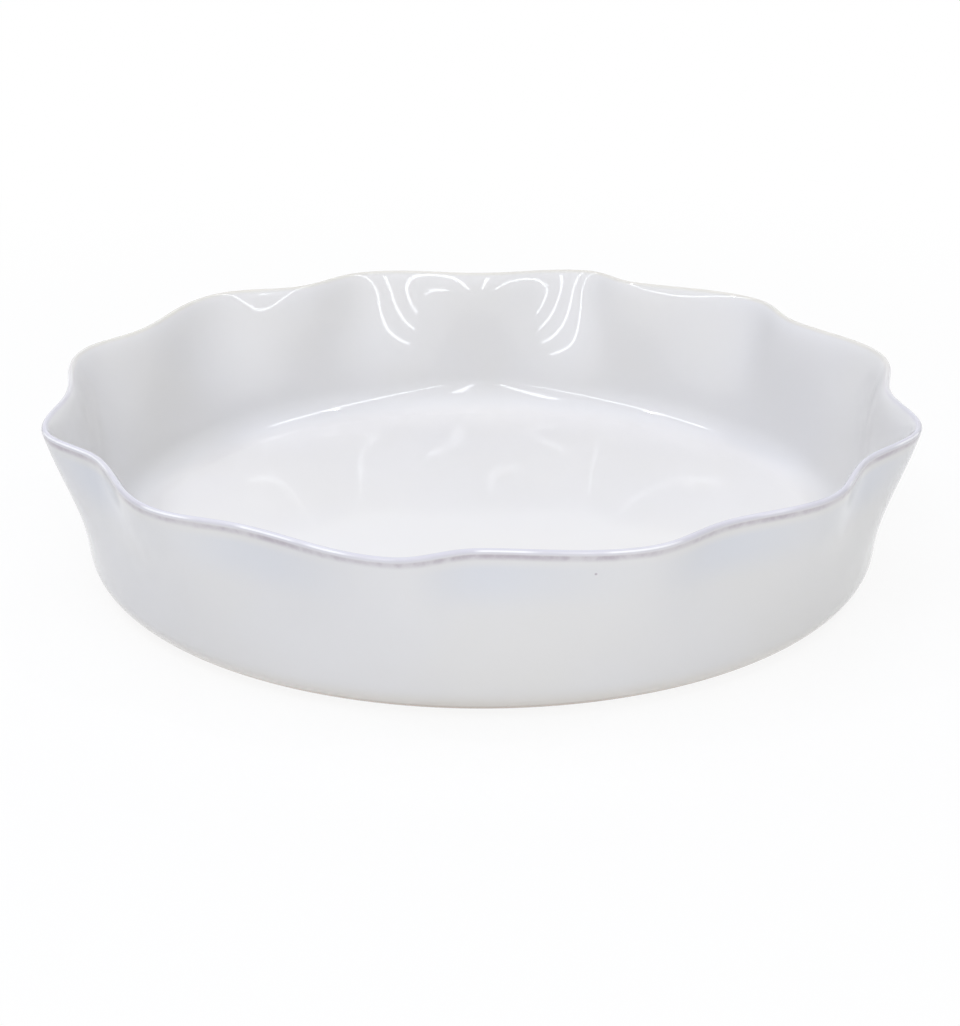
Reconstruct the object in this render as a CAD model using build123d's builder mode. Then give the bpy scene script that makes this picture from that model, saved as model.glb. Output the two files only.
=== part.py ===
from build123d import *
import math
import os

# A deep round pie dish of white glazed stoneware, with twelve hand-pressed flutes in its wall.
# Millimetres, +Z up. The origin is on the dish's axis at the table, and -Y faces the viewer.
# The clay and the glass glaze that is melted on to it are separate solids that meet face to face.

# Sizes of the finished, glazed dish
dish_height = 53.3  # table to the top of the lip
wall_radius = 123.4  # outside of the wall where it starts from the foot, still round
rim_flare = 9.4  # how far the lip stands out past the foot of the wall, between flute crest and valley
flute_depth = 9.0  # in and out travel of the lip along an average flute
wall_thickness = 6.4  # at the foot
lip_thickness = 3.0  # at the lip, which is round on both sides
lip_roll = 6.7  # height over which the lip rolls in to the wall
foot_round = 9.0  # outer edge of the foot
corner_round = 9.0  # inside, between wall and floor

# Floor and foot
floor_thickness = 4.7
foot_recess = 1.5  # hollow under the floor
foot_ring_width = 7.0  # flat bare ring that stands on the table
recess_chamfer = 0.8  # edge where the ring turns up into the hollow

# Glaze
glaze_thickness = 0.4
glaze_line = 1.2  # height above the table to which the glaze is wiped off the clay

# The flutes are pressed by hand, so no two are alike. One row for each flute, clockwise from the back as
# seen from above: how far its valley and its crest lie from their even places, as shares of one flute's
# width, and how far the lip reaches there from its mean circle, as shares of the flute depth.
flute_shares = [
    (-0.01, -0.41, 0.06, 0.57),
    (-0.17, -0.37, 0.00, 0.48),
    (-0.11, -0.48, -0.01, 0.35),
    (0.03, -0.51, 0.01, 0.45),
    (-0.02, -0.49, -0.05, 0.19),
    (-0.06, -0.40, -0.13, 0.40),
    (0.02, -0.28, -0.17, 0.66),
    (-0.01, -0.20, -0.09, 0.39),
    (0.03, -0.53, -0.04, 0.48),
    (-0.04, -0.28, 0.05, 0.55),
    (-0.06, -0.21, 0.07, 0.77),
    (0.00, -0.34, -0.12, 0.49),
]
flute_count = len(flute_shares)
flank_shares = [0.0, 0.33, 0.67]  # points of the outline on each flank, as shares of its width
slope_share = 0.01  # of a flank, over which its slope is taken

# The wall leans out more and more towards the lip. The flutes start well above the foot.
flare_power = 1.5  # 1 would make the wall a straight cone
flute_start_share = 0.28  # of the height
flute_full_share = 0.98
level_shares = [0.0, 0.25, 0.5, 0.75, 1.0]  # heights of the sections between foot and lip
round_shares = [0.0, 0.33, 0.67, 1.0]  # steps of each quarter round

floor_level = foot_recess + floor_thickness
foot_radius = wall_radius - foot_round
recess_radius = foot_radius - foot_ring_width
lip_round_share = 0.48  # of the lip, just under half, so that a hair of flat stays between its two rounds


def flare(height_share):
    """Share of the rim's flare that the wall has at this share of the height."""
    return height_share**flare_power


def flute_fade(height_share):
    """The flutes are deepest at the lip and die away towards the round foot."""
    rise_share = (height_share - flute_start_share) / (flute_full_share - flute_start_share)
    return (1 - math.cos(math.pi * min(1, max(0, rise_share)))) / 2


def flank_reach(reach, next_reach, flank_share):
    """How far the lip reaches at a share of the way from one turn of a flute to the next."""
    return reach + (next_reach - reach) * (1 - math.cos(math.pi * flank_share)) / 2


def lip_stations():
    """Angle, reach and slope of the lip at each point that the outline goes through, valley to valley."""
    turns = []
    for i, (valley_place, valley_reach, crest_place, crest_reach) in enumerate(flute_shares):
        turns.append((math.tau * (i + valley_place) / flute_count, valley_reach))
        turns.append((math.tau * (i + 1 / 2 + crest_place) / flute_count, crest_reach))
    first_angle, first_reach = turns[0]
    turns.append((first_angle + math.tau, first_reach))
    stations = []
    for (start, reach), (end, next_reach) in zip(turns, turns[1:]):
        for flank_share in flank_shares:
            before = flank_reach(reach, next_reach, flank_share - slope_share)
            after = flank_reach(reach, next_reach, flank_share + slope_share)
            slope = (after - before) / (slope_share + slope_share) / (end - start)
            angle = start + (end - start) * flank_share
            stations.append((angle, flank_reach(reach, next_reach, flank_share), slope))
    return stations + [(first_angle + math.tau, first_reach, 0)]


def wall_section(level, inward):
    """A face across the wall's outline, moved in square to the wall, with one curve for each flute."""
    height_share = level / dish_height
    mean_radius = wall_radius + rim_flare * flare(height_share)
    depth = flute_depth * flute_fade(height_share)
    angles, points, tangents = [], [], []
    for angle, reach, slope in lip_stations():
        outward = Vector(math.sin(angle), math.cos(angle))
        clockwise = Vector(math.cos(angle), -math.sin(angle))
        radius = mean_radius + depth * reach
        square = (outward * radius - clockwise * depth * slope).normalized()
        angles.append(angle)
        points.append(outward * radius - square * inward + Vector(0, 0, level))
        tangents.append(clockwise)
    points[-1] = points[0]
    curves = []
    for first in range(0, len(points) - 1, 2 * len(flank_shares)):
        last = first + 2 * len(flank_shares)
        curves.append(
            Edge.make_spline(
                points[first : last + 1],
                tangents=[tangents[first], tangents[last]],
                parameters=angles[first : last + 1],
            )
        )
    return Face(Wire(curves))


def rounding(radius, start=0):
    """Steps up a quarter round: how far each lies in from its upright side and up from its flat side."""
    first_turn = math.acos(1 - start / radius)
    for share in round_shares:
        turn = first_turn + (math.pi / 2 - first_turn) * share
        yield radius - radius * math.sin(turn), radius - radius * math.cos(turn)


def rises(low, high):
    """Heights of the wall's sections from one level up to another."""
    return [low + (high - low) * level_share for level_share in level_shares]


def dish_form(bottom, skin):
    """The dish above a level, without its foot hollow, with a skin of this thickness taken off all over."""
    top = dish_height - skin
    floor_top = floor_level - skin
    foot = foot_round - skin
    corner = corner_round + skin
    lip = (lip_thickness - skin - skin) * lip_round_share
    roll = lip_roll - skin

    def thickness(level):
        return wall_thickness + (lip_thickness - wall_thickness) * flare(level / dish_height) - skin

    def band(steps, ruled, mode):
        sections = [wall_section(level, inward) for level, inward in steps]
        loft(sections, ruled=ruled, clean=False, mode=mode)

    lip_steps = list(reversed(list(rounding(lip))))
    band([(up, skin + across) for across, up in rounding(foot, bottom)], True, Mode.ADD)
    band([(level, skin) for level in rises(foot, top - lip)], False, Mode.ADD)
    band([(top - up, skin + across) for across, up in lip_steps], True, Mode.ADD)

    corner_steps = [(floor_top + up, across) for across, up in rounding(corner)]
    band([(level, thickness(level) + across) for level, across in corner_steps], True, Mode.SUBTRACT)
    band([(level, thickness(level)) for level in rises(floor_top + corner, top - roll)], False, Mode.SUBTRACT)
    roll_steps = [(top - up * roll / lip, across) for across, up in lip_steps]
    band([(level, thickness(level) - across) for level, across in roll_steps], True, Mode.SUBTRACT)


# Clay: floor, fluted wall, rounded lip, foot ring and the hollow inside the ring
with BuildPart() as stoneware_body:
    dish_form(0, glaze_thickness)
    with BuildSketch(Plane.XY):
        Circle(recess_radius)
    extrude(amount=foot_recess + glaze_thickness, clean=False, mode=Mode.SUBTRACT)
    chamfer(faces().sort_by(Axis.Z)[0].inner_wires().edges(), recess_chamfer)
stoneware_body.part.label = "stoneware_body"

# Glaze over the floor, the wall inside and out, and the lip, down to the wiped line above the table
with BuildPart() as glaze_coat:
    dish_form(glaze_line, 0)
    with BuildSketch(Plane.XY):
        Circle((recess_radius + foot_radius) / 2)
    extrude(amount=(foot_recess + floor_level) / 2, clean=False, mode=Mode.SUBTRACT)
    add(stoneware_body.part, clean=False, mode=Mode.SUBTRACT)
glaze_coat.part.label = "glaze_coat"

# Glaze under the floor, inside the bare foot ring
with BuildPart() as underside_glaze:
    with BuildSketch(Plane.XY.offset(foot_recess)):
        Circle(recess_radius)
    extrude(amount=glaze_thickness)
underside_glaze.part.label = "underside_glaze"

os.makedirs("parts", exist_ok=True)
for piece in (stoneware_body, glaze_coat, underside_glaze):
    export_step(piece.part, f"parts/{piece.part.label}.step")
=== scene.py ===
import math

import bpy
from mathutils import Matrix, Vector


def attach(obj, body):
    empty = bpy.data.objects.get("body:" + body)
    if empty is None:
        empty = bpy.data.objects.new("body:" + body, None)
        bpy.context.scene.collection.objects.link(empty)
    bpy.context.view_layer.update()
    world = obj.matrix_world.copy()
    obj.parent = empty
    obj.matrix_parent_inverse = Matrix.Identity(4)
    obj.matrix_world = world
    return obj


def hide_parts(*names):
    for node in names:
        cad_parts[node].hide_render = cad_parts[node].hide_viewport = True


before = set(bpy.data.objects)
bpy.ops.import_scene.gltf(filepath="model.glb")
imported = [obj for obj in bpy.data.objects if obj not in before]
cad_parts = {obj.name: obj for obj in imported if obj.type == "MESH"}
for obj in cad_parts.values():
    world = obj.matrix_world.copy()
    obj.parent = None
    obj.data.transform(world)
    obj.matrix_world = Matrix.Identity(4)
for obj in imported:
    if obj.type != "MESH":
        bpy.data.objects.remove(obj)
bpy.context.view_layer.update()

print("frame loaded:", ", ".join(sorted(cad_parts)))

mm = 0.001

# The form that the clay and the glaze share, in millimetres
dish = {
    "height": 53.3,  # table to the top of the lip
    "wallRadius": 123.4,  # outside, where the round wall starts from the foot
    "rimFlare": 9.4,  # how far the lip stands out past the foot of the wall
    "flarePower": 1.5,  # 1 would make the wall a straight cone
    "fluteDepth": 9.0,  # in and out travel of the lip along an average flute
    "fluteStart": 0.28,  # share of the height at which the flutes start
    "fluteFull": 0.98,
    "wallThickness": 6.4,  # at the foot
    "lipThickness": 3.0,
    "lipRoll": 6.7,  # height over which the lip rolls in to the wall
    "footRound": 9.0,
    "cornerRound": 9.0,  # inside, between wall and floor
    "floorLevel": 6.2,
    # one row for each flute, clockwise from the back: place of its valley and reach of the lip there,
    # then the same of its crest, as shares of a flute's width and of the flute depth
    "flutes": [
        (-0.01, -0.41, 0.06, 0.57),
        (-0.17, -0.37, 0.00, 0.48),
        (-0.11, -0.48, -0.01, 0.35),
        (0.03, -0.51, 0.01, 0.45),
        (-0.02, -0.49, -0.05, 0.19),
        (-0.06, -0.40, -0.13, 0.40),
        (0.02, -0.28, -0.17, 0.66),
        (-0.01, -0.20, -0.09, 0.39),
        (0.03, -0.53, -0.04, 0.48),
        (-0.04, -0.28, 0.05, 0.55),
        (-0.06, -0.21, 0.07, 0.77),
        (0.00, -0.34, -0.12, 0.49),
    ],
    "slopeStep": 0.002,  # angle on either side of a point over which the lip's slope is taken
}

# How many steps each stretch of the wall's section has
steps = {
    "foot": 6,
    "outside": 12,
    "lip": 5,
    "roll": 6,
    "rollSpacing": 1.4,  # above 1 puts more of the roll's steps near the top of the lip
    "inside": 9,
    "corner": 6,
    "floorLoops": (0.5, 6, 16),  # where the section goes on over the floor, from the corner
}


def lipTurns():
    turns = []
    count = len(dish["flutes"])
    for i, (valleyPlace, valleyReach, crestPlace, crestReach) in enumerate(dish["flutes"]):
        turns.append((math.tau * (i + valleyPlace) / count, valleyReach))
        turns.append((math.tau * (i + 0.5 + crestPlace) / count, crestReach))
    first, reach = turns[0]
    return turns + [(first + math.tau, reach)]


lipPath = lipTurns()


def lipReach(angle):
    start = lipPath[0][0]
    angle = start + (angle - start) % math.tau
    for (left, reach), (right, nextReach) in zip(lipPath, lipPath[1:]):
        if angle <= right:
            break
    climb = (1 - math.cos(math.pi * (angle - left) / (right - left))) / 2
    return reach + (nextReach - reach) * climb


def flare(level):
    return max(0, level / dish["height"]) ** dish["flarePower"]


def meanRadius(level):
    return dish["wallRadius"] + dish["rimFlare"] * flare(level)


def thickness(level):
    return dish["wallThickness"] + (dish["lipThickness"] - dish["wallThickness"]) * flare(level)


# The flutes are deepest at the lip and die away towards the round foot
def fluteFade(level):
    rise = (level / dish["height"] - dish["fluteStart"]) / (dish["fluteFull"] - dish["fluteStart"])
    return (1 - math.cos(math.pi * min(1, max(0, rise)))) / 2


# Steps up a quarter round: how far each lies in from its upright side and up from its flat side
def quarterRound(radius, count, start=0):
    first = math.acos(1 - start / radius)
    for step in range(count + 1):
        turn = first + (math.pi / 2 - first) * step / count
        yield radius - radius * math.sin(turn), radius - radius * math.cos(turn)


# Levels and distances inwards from the outside of the dish, from the foot over the lip to the floor
def wallSection(bottom, skin):
    foot = dish["footRound"] - skin
    corner = dish["cornerRound"] + skin
    floor = dish["floorLevel"] - skin
    top = dish["height"] - skin
    lip = dish["lipThickness"] / 2 - skin
    roll = dish["lipRoll"] - skin
    section = [(up, skin + across) for across, up in quarterRound(foot, steps["foot"], bottom)]
    for step in range(1, steps["outside"] + 1):
        section.append((foot + (top - lip - foot) * step / steps["outside"], skin))
    for step in range(1, steps["lip"] + 1):
        turn = math.pi / 2 * step / steps["lip"]
        section.append((top - lip + lip * math.sin(turn), skin + lip - lip * math.cos(turn)))
    for step in range(1, steps["roll"] + 1):
        turn = math.pi / 2 * (1 - (step / steps["roll"]) ** steps["rollSpacing"])
        level = top - roll + roll * math.sin(turn)
        section.append((level, thickness(level) - skin - lip + lip * math.cos(turn)))
    for step in range(1, steps["inside"] + 1):
        level = top - roll + (floor + corner - top + roll) * step / steps["inside"]
        section.append((level, thickness(level) - skin))
    cornerSteps = list(quarterRound(corner, steps["corner"]))
    for across, up in reversed(cornerSteps[:-1]):
        level = floor + up
        section.append((level, thickness(level) - skin + across))
    inward = section[-1][1]
    return section + [(floor, inward + loop) for loop in steps["floorLoops"]]


def selectOnly(piece):
    bpy.ops.object.select_all(action="DESELECT")
    piece.select_set(True)
    bpy.context.view_layer.objects.active = piece


# A ring is added and extruded from level to level, then the open ends are filled
def turnRings(name, rings, around, fillStart):
    radius, level = rings[0]
    bpy.ops.object.select_all(action="DESELECT")
    bpy.ops.mesh.primitive_circle_add(vertices=around, radius=radius * mm, location=(0, 0, level * mm))
    piece = bpy.context.active_object
    piece.name = name
    bpy.ops.object.transform_apply(location=True, rotation=True, scale=True)
    bpy.ops.object.mode_set(mode="EDIT")
    bpy.ops.mesh.select_all(action="SELECT")
    if fillStart:
        bpy.ops.mesh.fill_grid(span=around // 4)
        bpy.ops.object.mode_set(mode="OBJECT")
        for face in piece.data.polygons:
            face.select = False
        for edge in piece.data.edges:
            edge.select = False
        for vertex in piece.data.vertices:
            vertex.select = abs(vertex.co.to_2d().length - radius * mm) < 0.01 * mm
        bpy.ops.object.mode_set(mode="EDIT")
        bpy.ops.mesh.select_mode(type="VERT")
        bpy.ops.mesh.select_mode(type="EDGE")
    for nextRadius, nextLevel in rings[1:]:
        rise = (nextLevel - level) * mm
        bpy.ops.mesh.extrude_edges_move(TRANSFORM_OT_translate={"value": (0, 0, rise)})
        share = nextRadius / radius
        bpy.ops.transform.resize(value=(share, share, 1), center_override=(0, 0, 0))
        radius, level = nextRadius, nextLevel
    bpy.ops.mesh.fill_grid(span=around // 4)
    bpy.ops.mesh.select_all(action="SELECT")
    bpy.ops.mesh.normals_make_consistent(inside=False)
    bpy.ops.object.mode_set(mode="OBJECT")
    top = max(piece.data.polygons, key=lambda face: face.center.z)
    if top.normal.z < 0:
        bpy.ops.object.mode_set(mode="EDIT")
        bpy.ops.mesh.flip_normals()
        bpy.ops.object.mode_set(mode="OBJECT")
    return piece


# Where a point of the round dish comes to lie, which is square to the fluted wall at its outside
def pressedPlace(angle, level, inward):
    outward = Vector((math.sin(angle), math.cos(angle)))
    clockwise = Vector((math.cos(angle), -math.sin(angle)))
    depth = dish["fluteDepth"] * fluteFade(level)
    step = dish["slopeStep"]
    slope = (lipReach(angle + step) - lipReach(angle - step)) / (2 * step)
    radius = meanRadius(level) + depth * lipReach(angle)
    square = (outward * radius - clockwise * depth * slope).normalized()
    return outward * radius - square * inward


# The round dish is pressed into flutes, and remembers how deep inside the wall each point lies
def pressFlutes(piece):
    inwards = piece.data.attributes.new("inward", "FLOAT", "POINT")
    reaches = piece.data.attributes.new("reach", "FLOAT", "POINT")
    for vertex in piece.data.vertices:
        x, y, level = vertex.co / mm
        angle = math.atan2(x, y)
        inward = meanRadius(level) - math.hypot(x, y)
        inwards.data[vertex.index].value = inward
        reaches.data[vertex.index].value = lipReach(angle)
        if fluteFade(level) > 0:
            place = pressedPlace(angle, level, inward)
            vertex.co = Vector((place.x, place.y, level)) * mm


def smooth(piece, levels):
    selectOnly(piece)
    subsurf = piece.modifiers.new("smoothing", "SUBSURF")
    subsurf.levels = levels
    subsurf.render_levels = levels
    bpy.ops.object.modifier_apply(modifier="smoothing")
    bpy.ops.object.shade_smooth()


glaze = {
    "thickness": 0.4,
    "line": 1.2,  # height above the table at which the glaze is wiped off
    "around": 200,  # faces round the dish before smoothing
    "smoothing": 1,
}


def makeGlazeCoat():
    rings = [(meanRadius(level) - inward, level) for level, inward in wallSection(glaze["line"], 0)]
    piece = turnRings("glazeCoat", rings, glaze["around"], False)
    pressFlutes(piece)
    smooth(piece, glaze["smoothing"])
    wall = piece.modifiers.new("coat", "SOLIDIFY")
    wall.thickness = glaze["thickness"] * mm
    wall.offset = -1
    wall.use_even_offset = True
    bpy.ops.object.modifier_apply(modifier="coat")
    return piece


clay = {
    "around": 200,
    "smoothing": 1,
    "recess": 1.5,  # hollow under the floor
    "recessRadius": 107.4,
    "recessChamfer": 0.8,
    "wallHold": 0.2,  # distances of the loops that keep the recess and the foot ring crisp
    "chamferHold": 0.1,
    "ringHold": 0.35,
}


def makeStonewareBody():
    skin = glaze["thickness"]
    inner = clay["recessRadius"]
    ringInner = inner + clay["recessChamfer"]
    ringOuter = dish["wallRadius"] - dish["footRound"]
    rings = [
        (inner, clay["recess"] + skin),
        (inner, clay["recess"] - clay["wallHold"]),
        (inner, clay["recessChamfer"] + clay["chamferHold"]),
        (ringInner, 0),
        (ringInner + clay["ringHold"], 0),
        (ringOuter - clay["ringHold"], 0),
    ]
    rings += [(meanRadius(level) - inward, level) for level, inward in wallSection(0, skin)]
    piece = turnRings("stonewareBody", rings, clay["around"], True)
    pressFlutes(piece)
    smooth(piece, clay["smoothing"])
    return piece


underside = {
    "radius": 107.4,
    "around": 144,
    "edge": 0.15,  # rounding of the glaze where it ends at the foot ring
    "edgeSteps": 3,
    "smoothAngle": 40,
}


def makeUndersideGlaze():
    depth = glaze["thickness"]
    bpy.ops.object.select_all(action="DESELECT")
    bpy.ops.mesh.primitive_cylinder_add(
        vertices=underside["around"],
        radius=underside["radius"] * mm,
        depth=depth * mm,
        location=(0, 0, (clay["recess"] + depth / 2) * mm),
    )
    piece = bpy.context.active_object
    piece.name = "undersideGlaze"
    bpy.ops.object.transform_apply(location=True, rotation=True, scale=True)
    for face in piece.data.polygons:
        face.select = face.normal.z < -0.9
    bpy.ops.object.mode_set(mode="EDIT")
    bpy.ops.mesh.select_mode(type="FACE")
    bpy.ops.mesh.bevel(offset=underside["edge"] * mm, segments=underside["edgeSteps"], affect="EDGES")
    bpy.ops.mesh.select_all(action="DESELECT")
    bpy.ops.object.mode_set(mode="OBJECT")
    selectOnly(piece)
    bpy.ops.object.shade_smooth_by_angle(angle=math.radians(underside["smoothAngle"]))
    return piece


glazeCoat = makeGlazeCoat()
stonewareBody = makeStonewareBody()
undersideGlaze = makeUndersideGlaze()
for piece, node, slot in (
    (glazeCoat, "glaze_coat", "white_glaze"),
    (stonewareBody, "stoneware_body", "bare_clay"),
    (undersideGlaze, "underside_glaze", "white_glaze"),
):
    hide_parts(node)
    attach(piece, "root")
    print("made", piece.name, "with", sum(len(face.vertices) - 2 for face in piece.data.polygons), "triangles")


class Signal:  # an output socket; sums and products of signals add their Math nodes
    def __init__(self, tree, socket):
        self.tree = tree
        self.socket = socket

    def __add__(self, other):
        return self.tree.maths("ADD", self, other)

    def __rsub__(self, other):
        return self.tree.maths("SUBTRACT", other, self)

    def __mul__(self, other):
        return self.tree.maths("MULTIPLY", self, other)

    __radd__ = __add__
    __rmul__ = __mul__


class Tree:
    def __init__(self, owner):
        owner.use_nodes = True
        self.nodes = owner.node_tree.nodes
        self.links = owner.node_tree.links
        self.nodes.clear()

    def node(self, kind, settings=None, inputs=None, output=0):
        made = self.nodes.new(kind)
        for name, value in (settings or {}).items():
            setattr(made, name, value)
        for name, value in (inputs or {}).items():
            if isinstance(value, Signal):
                self.links.new(value.socket, made.inputs[name])
            else:
                made.inputs[name].default_value = value
        return Signal(self, made.outputs[output]) if made.outputs else made

    def maths(self, operation, first, second):
        return self.node("ShaderNodeMath", {"operation": operation}, {0: first, 1: second})

    def blend(self, factor, colour, other):
        return self.node("ShaderNodeMix", {"data_type": "RGBA"}, {0: factor, 6: colour, 7: other}, 2)

    # From 0 to 1 where the value goes from low to high
    def ease(self, value, low, high):
        settings = {"interpolation_type": "SMOOTHSTEP"}
        return self.node("ShaderNodeMapRange", settings, {0: value, 1: low, 2: high})

    # 1 in a band, with soft ends of which each has its own low and high
    def band(self, value, start, end):
        return self.ease(value, *start) * (1 - self.ease(value, *end))

    # A pattern in the glaze or the clay, of which scale is the number of patches to a metre
    def noise(self, scale, detail, roughness=0.5):
        place = self.node("ShaderNodeTexCoord", output="Object")
        inputs = {"Vector": place, "Scale": scale, "Detail": detail, "Roughness": roughness}
        return self.node("ShaderNodeTexNoise", None, inputs, "Fac")


def rgb(red, green, blue):
    return (red, green, blue, 1)


# Levels are above the table and depths inwards from the outside of the wall, both in millimetres. Each pair
# gives the ends over which a tint comes or goes, and shares give its even part and its patchy part.
glazeLook = {
    "white": rgb(0.80, 0.797, 0.803),
    "warm": rgb(0.81, 0.80, 0.775),
    "warmPattern": (0.35, 0.65),
    "warmShare": 0.5,
    "outsideDepths": (0.9, 1.6),
    "cool": rgb(0.72, 0.75, 0.82),  # where the glaze pools below the lip
    "coolLevels": ((32, 44), (47, 50)),
    "coolShares": (0.35, -0.6),  # even part, and part that grows with the lip's reach
    "lip": rgb(0.65, 0.635, 0.71),  # thin glaze over the crown of the lip
    "cream": rgb(0.78, 0.75, 0.67),  # the same at the back of the dish
    "creamPlaces": (-40, 60),  # how far towards the back
    "lipLevels": (51.6, 52.8),
    "lipDepths": (1.8, 2.6),
    "lipShares": (0.5, 0.5),
    "paintedHighlight": rgb(0.97, 0.97, 0.98),  # painted highlight: fine bright lines along the crown, in place of the lamps' reflections
    "paintedHighlightDepths": ((0.15, 0.4), (0.5, 0.85)),
    "paintedHighlightLevels": (52, 52.4),
    "paintedHighlightPattern": (0.46, 0.56),
    "edge": rgb(0.54, 0.495, 0.54),  # where it thins most, on the lip's outer side
    "edgeLevels": ((49.7, 51.5), (51.7, 52.3)),
    "edgeShares": (0.45, 0.6),
    "edgeMottle": 0.5,
    "edgePattern": (0.6, 0.95),
    "foot": rgb(0.81, 0.78, 0.735),  # where it runs thin towards the foot
    "footLevels": (2, 9),
    "break": rgb(0.52, 0.38, 0.29),  # at the wiped edge
    "breakLevels": (1.8, 3.6),
    "breakShares": (0.6, 0.5),
    "speck": (167, 46.2),  # angle and level of a small dark iron speck
    "speckReach": (0.25, 0.5),
    "roughnessShares": (0.035, 0.03),
    "ripple": 0.06,  # height of the slow waves in the glaze
    "peel": 0.004,  # height of the fine ones
}


def glazeMaterial():
    material = bpy.data.materials.new("whiteGlaze")
    tree = Tree(material)
    look = glazeLook
    place = tree.node("ShaderNodeTexCoord", output="Object")
    level = tree.node("ShaderNodeSeparateXYZ", None, {0: place}, 2) * (1 / mm)
    towardsBack = tree.node("ShaderNodeSeparateXYZ", None, {0: place}, 1) * (1 / mm)
    depth = tree.node("ShaderNodeAttribute", {"attribute_name": "inward"}, None, "Fac")
    reach = tree.node("ShaderNodeAttribute", {"attribute_name": "reach"}, None, "Fac")
    cloud = tree.noise(14, 3)
    mottle = tree.noise(420, 4, 0.6)
    patches = tree.noise(70, 3, 0.6)
    stretches = tree.noise(38, 1)

    def shared(shares, pattern):
        even, varied = shares
        return even + varied * pattern

    outside = 1 - tree.ease(depth, *look["outsideDepths"])
    warm = tree.ease(cloud, *look["warmPattern"]) * look["warmShare"]
    cool = tree.band(level, *look["coolLevels"]) * shared(look["coolShares"], reach) * outside
    crown = tree.ease(level, *look["lipLevels"]) * (1 - tree.ease(depth, *look["lipDepths"]))
    # painted highlight: a bright band along the top of the crown, in place of the lamps' reflections
    paintedHighlight = tree.band(depth, *look["paintedHighlightDepths"]) * tree.ease(level, *look["paintedHighlightLevels"])
    edgePattern = tree.ease(mottle * look["edgeMottle"] + patches, *look["edgePattern"])
    edge = tree.band(level, *look["edgeLevels"]) * outside * shared(look["edgeShares"], edgePattern)
    foot = 1 - tree.ease(level, *look["footLevels"])
    wiped = (1 - tree.ease(level, *look["breakLevels"])) * shared(look["breakShares"], patches)
    lip = tree.blend(tree.ease(towardsBack, *look["creamPlaces"]), look["lip"], look["cream"])
    colour = tree.blend(warm, look["white"], look["warm"])
    colour = tree.blend(cool, colour, look["cool"])
    colour = tree.blend(crown * shared(look["lipShares"], patches), colour, lip)
    # the painted highlight is laid over the crown in patches along the lip
    colour = tree.blend(paintedHighlight * tree.ease(stretches, *look["paintedHighlightPattern"]), colour, look["paintedHighlight"])
    colour = tree.blend(edge, colour, look["edge"])
    colour = tree.blend(foot, colour, look["foot"])
    colour = tree.blend(wiped, colour, look["break"])

    speckAngle, speckLevel = look["speck"]
    spot = pressedPlace(math.radians(speckAngle), speckLevel, 0)
    inputs = {0: place, 1: (spot.x * mm, spot.y * mm, speckLevel * mm)}
    distance = tree.node("ShaderNodeVectorMath", {"operation": "DISTANCE"}, inputs, "Value") * (1 / mm)
    colour = tree.blend(1 - tree.ease(distance, *look["speckReach"]), colour, look["edge"])

    waves = tree.noise(22, 2) * look["ripple"] + tree.noise(300, 2) * look["peel"]
    inputs = {"Strength": 1.0, "Distance": mm, "Height": waves}
    normal = tree.node("ShaderNodeBump", None, inputs, "Normal")
    roughness = shared(look["roughnessShares"], patches)
    inputs = {"Base Color": colour, "Roughness": roughness, "Normal": normal, "IOR": 1.5}
    surface = tree.node("ShaderNodeBsdfPrincipled", None, inputs)
    tree.node("ShaderNodeOutputMaterial", None, {"Surface": surface})
    return material


clayLook = {
    "body": rgb(0.62, 0.47, 0.32),
    "dark": rgb(0.45, 0.32, 0.20),
    "cloudPattern": (0.35, 0.7),
    "cloudShare": 0.5,
    "gritPattern": (0.55, 0.75),
    "gritShare": 0.4,
    "gritHeight": 0.1,  # millimetres
    "gritStrength": 0.6,
    "roughness": 0.75,
    "cloudRoughness": 0.15,
}


def clayMaterial():
    material = bpy.data.materials.new("bareClay")
    tree = Tree(material)
    look = clayLook
    grit = tree.noise(900, 4)
    cloud = tree.noise(40, 3)
    dark = tree.ease(cloud, *look["cloudPattern"]) * look["cloudShare"]
    dark = dark + look["gritShare"] * tree.ease(grit, *look["gritPattern"])
    colour = tree.blend(dark, look["body"], look["dark"])
    inputs = {"Strength": look["gritStrength"], "Distance": look["gritHeight"] * mm, "Height": grit}
    normal = tree.node("ShaderNodeBump", None, inputs, "Normal")
    roughness = look["roughness"] + look["cloudRoughness"] * cloud
    inputs = {"Base Color": colour, "Roughness": roughness, "Normal": normal}
    surface = tree.node("ShaderNodeBsdfPrincipled", None, inputs)
    tree.node("ShaderNodeOutputMaterial", None, {"Surface": surface})
    return material


def dress(piece, material):
    piece.data.materials.clear()
    piece.data.materials.append(material)


whiteGlaze = glazeMaterial()
bareClay = clayMaterial()
for piece, node, material in (
    (glazeCoat, "glaze_coat", whiteGlaze),
    (undersideGlaze, "underside_glaze", whiteGlaze),
    (stonewareBody, "stoneware_body", bareClay),
):
    dress(piece, material)
    dress(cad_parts[node], material)
print("materials made")


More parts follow.
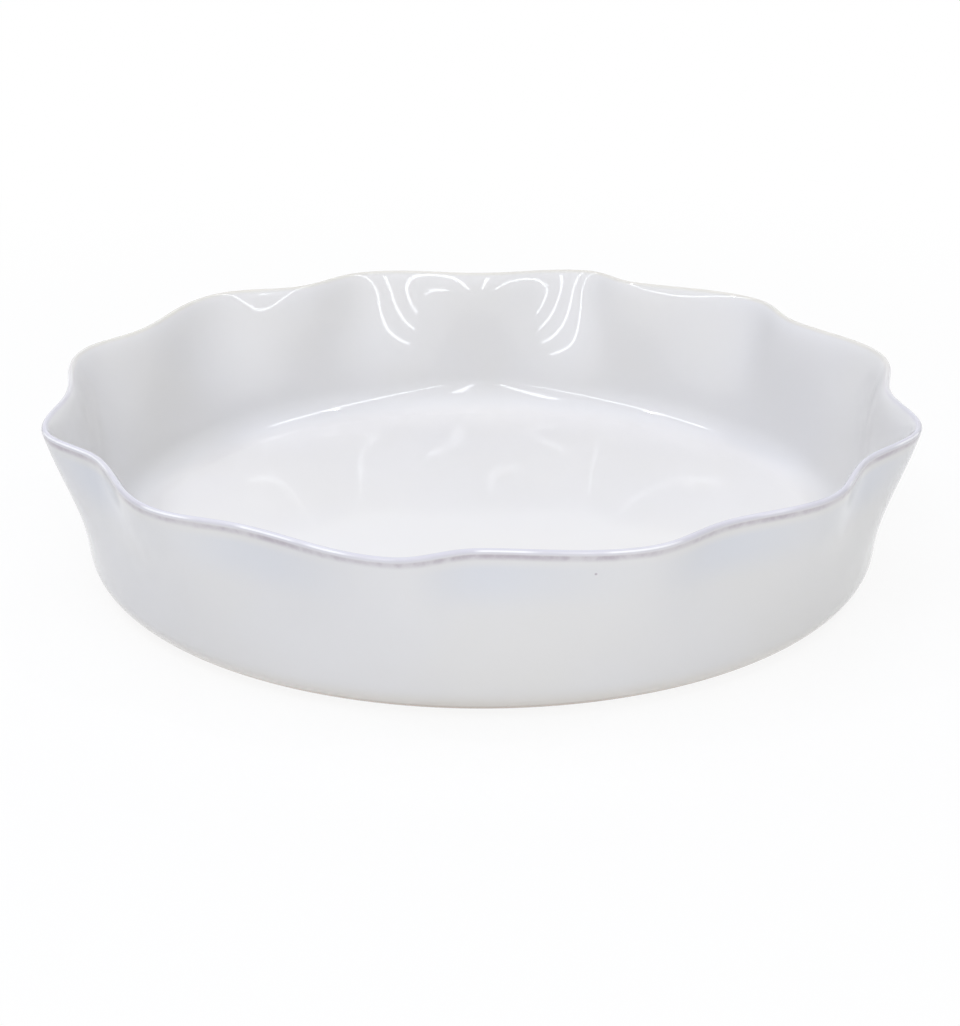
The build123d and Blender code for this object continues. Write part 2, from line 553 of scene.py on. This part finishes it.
studio = {
    "floorSize": 8,  # metres
    "floorColour": rgb(0.88, 0.88, 0.88),
    "shadowShare": 0.1,  # how much of the floor that the camera sees takes shadows
    "shadowReach": (0.14, 0.5),  # distances from the dish's middle over which that fades, metres
    "fill": 0.16,  # light from all round
    # four ceiling tubes from front to back, which the glaze mirrors as thin lines
    "tubes": {
        "sides": (-0.71, -0.28, 0.14, 0.57),
        "backEnds": (0.35, -0.3, -0.7, 0.35),
        "frontEnd": -2.5,
        "height": 1.0,
        "width": 0.07,
        "wattsPerMetre": 1.55,
        "colour": (0.93, 0.96, 1.0),
    },
    "softLamps": [
        # name, place and target in metres, width and height, watts, colour, mirrored in the glaze
        ("top", (-0.2, 0.0, 1.1), (0, 0, 0), (0.9, 0.9), 6.1, (0.86, 0.88, 1.0), False),
        ("back", (0.0, 1.4, 0.9), (0, 0, 0), (1.6, 0.8), 5.8, (0.98, 1.0, 0.97), False),
        ("front", (0.4, -1.7, 0.25), (0, 0, 0), (1.6, 0.4), 5.7, (1.0, 0.97, 0.91), False),
        ("bulbLeft", (-0.64, -0.05, 0.99), (-0.64, -0.05, 0), (0.03, 0.03), 0.9, (1, 1, 1), True),
        ("bulbRight", (0.50, -0.05, 0.99), (0.50, -0.05, 0), (0.03, 0.03), 0.9, (1, 1, 1), True),
    ],
}

viewpoint = {
    "place": (-0.0006, -0.7034, 0.2961),
    "pitch": 22.061,
    "lens": 83.33,
}


# 1 where the camera sees something straight or in a mirror, 0 for the light that falls on the dish
def seenDirectly(tree):
    seen = tree.node("ShaderNodeLightPath", output="Is Camera Ray")
    for ray in ("Is Glossy Ray", "Is Transmission Ray"):
        seen = tree.maths("MAXIMUM", seen, tree.node("ShaderNodeLightPath", output=ray))
    return seen


def makeFloor():
    bpy.ops.object.select_all(action="DESELECT")
    bpy.ops.mesh.primitive_plane_add(size=studio["floorSize"], location=(0, 0, 0))
    floor = bpy.context.active_object
    floor.name = "studioFloor"
    material = bpy.data.materials.new("studioFloor")
    tree = Tree(material)
    place = tree.node("ShaderNodeTexCoord", output="Object")
    distance = tree.node("ShaderNodeVectorMath", {"operation": "LENGTH"}, {0: place}, "Value")
    shadow = studio["shadowShare"] * (1 - tree.ease(distance, *studio["shadowReach"]))
    white = seenDirectly(tree) * (1 - shadow)
    diffuse = tree.node("ShaderNodeBsdfDiffuse", None, {"Color": studio["floorColour"]})
    glow = tree.node("ShaderNodeEmission", None, {"Color": rgb(1, 1, 1), "Strength": 1.0})
    surface = tree.node("ShaderNodeMixShader", None, {0: white, 1: diffuse, 2: glow})
    tree.node("ShaderNodeOutputMaterial", None, {"Surface": surface})
    dress(floor, material)


def makeWorld():
    world = bpy.data.worlds.new("studioWorld")
    bpy.context.scene.world = world
    tree = Tree(world)
    strength = studio["fill"] + (1 - studio["fill"]) * seenDirectly(tree)
    surface = tree.node("ShaderNodeBackground", None, {"Color": rgb(1, 1, 1), "Strength": strength})
    tree.node("ShaderNodeOutputWorld", None, {"Surface": surface})


def makeLamp(name, place, target, size, watts, colour, mirrored):
    lamp = bpy.data.lights.new(name, "AREA")
    lamp.shape = "RECTANGLE"
    lamp.size, lamp.size_y = size
    lamp.energy = watts
    lamp.color = colour
    holder = bpy.data.objects.new(name, lamp)
    holder.location = place
    holder.rotation_euler = (Vector(target) - Vector(place)).to_track_quat("-Z", "Y").to_euler()
    holder.visible_glossy = mirrored
    bpy.context.scene.collection.objects.link(holder)


def makeLamps():
    tubes = studio["tubes"]
    for number, (side, backEnd) in enumerate(zip(tubes["sides"], tubes["backEnds"]), 1):
        length = backEnd - tubes["frontEnd"]
        middle = (backEnd + tubes["frontEnd"]) / 2
        place = (side, middle, tubes["height"])
        size = (tubes["width"], length)
        watts = tubes["wattsPerMetre"] * length
        makeLamp(f"tube{number}", place, (side, middle, 0), size, watts, tubes["colour"], True)
    for lamp in studio["softLamps"]:
        makeLamp(*lamp)


def makeCamera():
    camera = bpy.data.cameras.new("camera")
    camera.lens = viewpoint["lens"]
    camera.sensor_width = 36
    holder = bpy.data.objects.new("camera", camera)
    holder.location = viewpoint["place"]
    holder.rotation_euler = (math.radians(90 - viewpoint["pitch"]), 0, 0)
    bpy.context.scene.collection.objects.link(holder)
    bpy.context.scene.camera = holder


makeFloor()
makeWorld()
makeLamps()
makeCamera()
bpy.context.scene.view_settings.view_transform = "Standard"
print("studio made")
